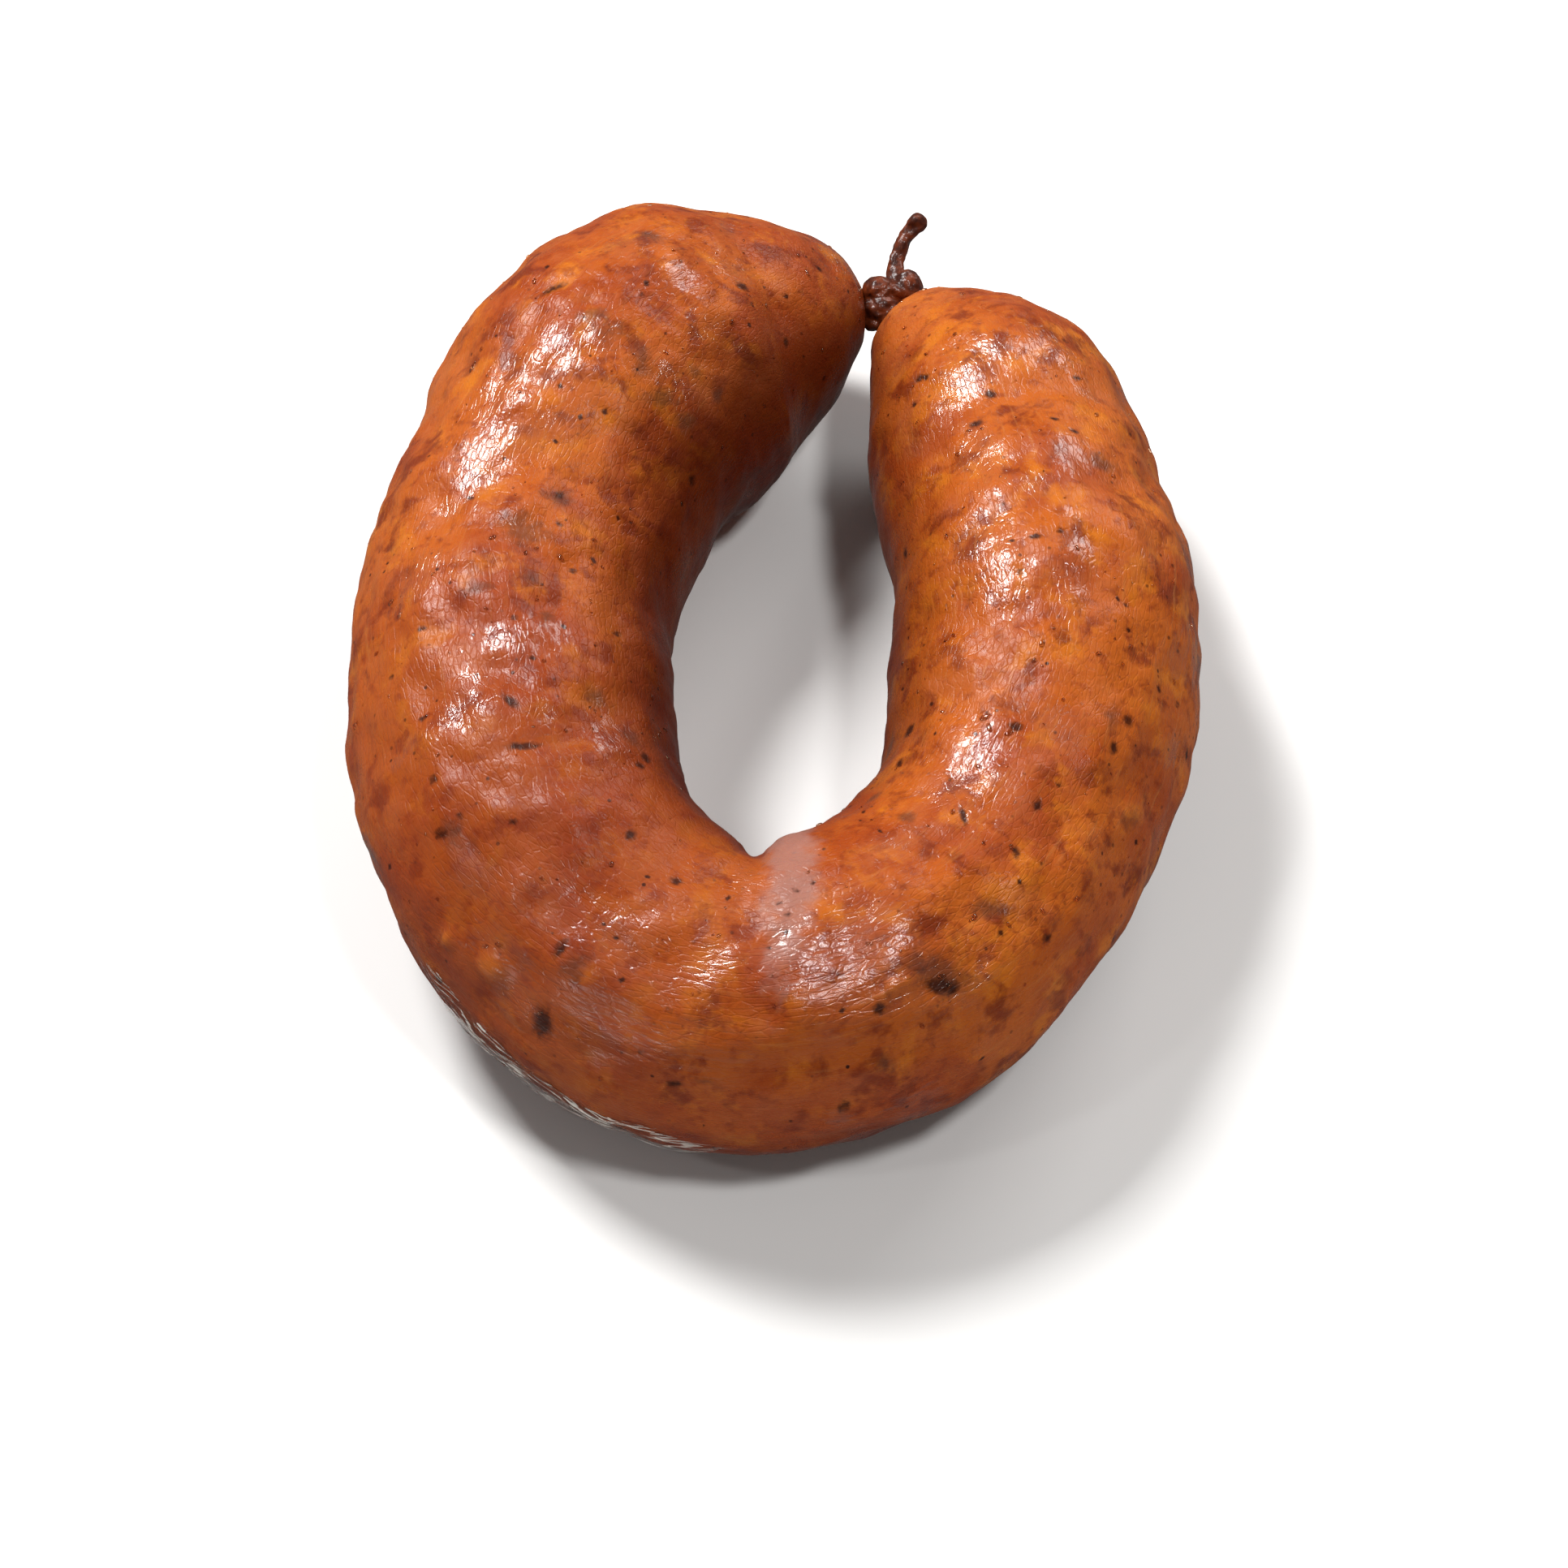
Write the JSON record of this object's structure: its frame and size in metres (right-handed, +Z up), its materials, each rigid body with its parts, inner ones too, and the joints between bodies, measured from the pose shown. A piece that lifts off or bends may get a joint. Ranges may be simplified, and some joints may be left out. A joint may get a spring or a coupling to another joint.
{
  "type": "grilled ring sausage",
  "caption": "Grilled ring sausage in natural casing, bent into a horseshoe and tied at a twisted knot where its ends meet; prepared food that lies flat.",
  "frame": {"origin": "under the middle of the sausage's box, on the surface that it lies on", "axes": "+Z up, +Y from the bend of the horseshoe towards the knot, +X to the right with the knot at the far side"},
  "size_m": [0.1172, 0.1526, 0.0474],
  "materials": {
    "grilled_casing": "glossy natural casing, browned over fire, mottled orange to red-brown with pepper flecks"
  },
  "bodies": {
    "root": {"sausage_ring": "grilled_casing"}
  },
  "joints": []
}
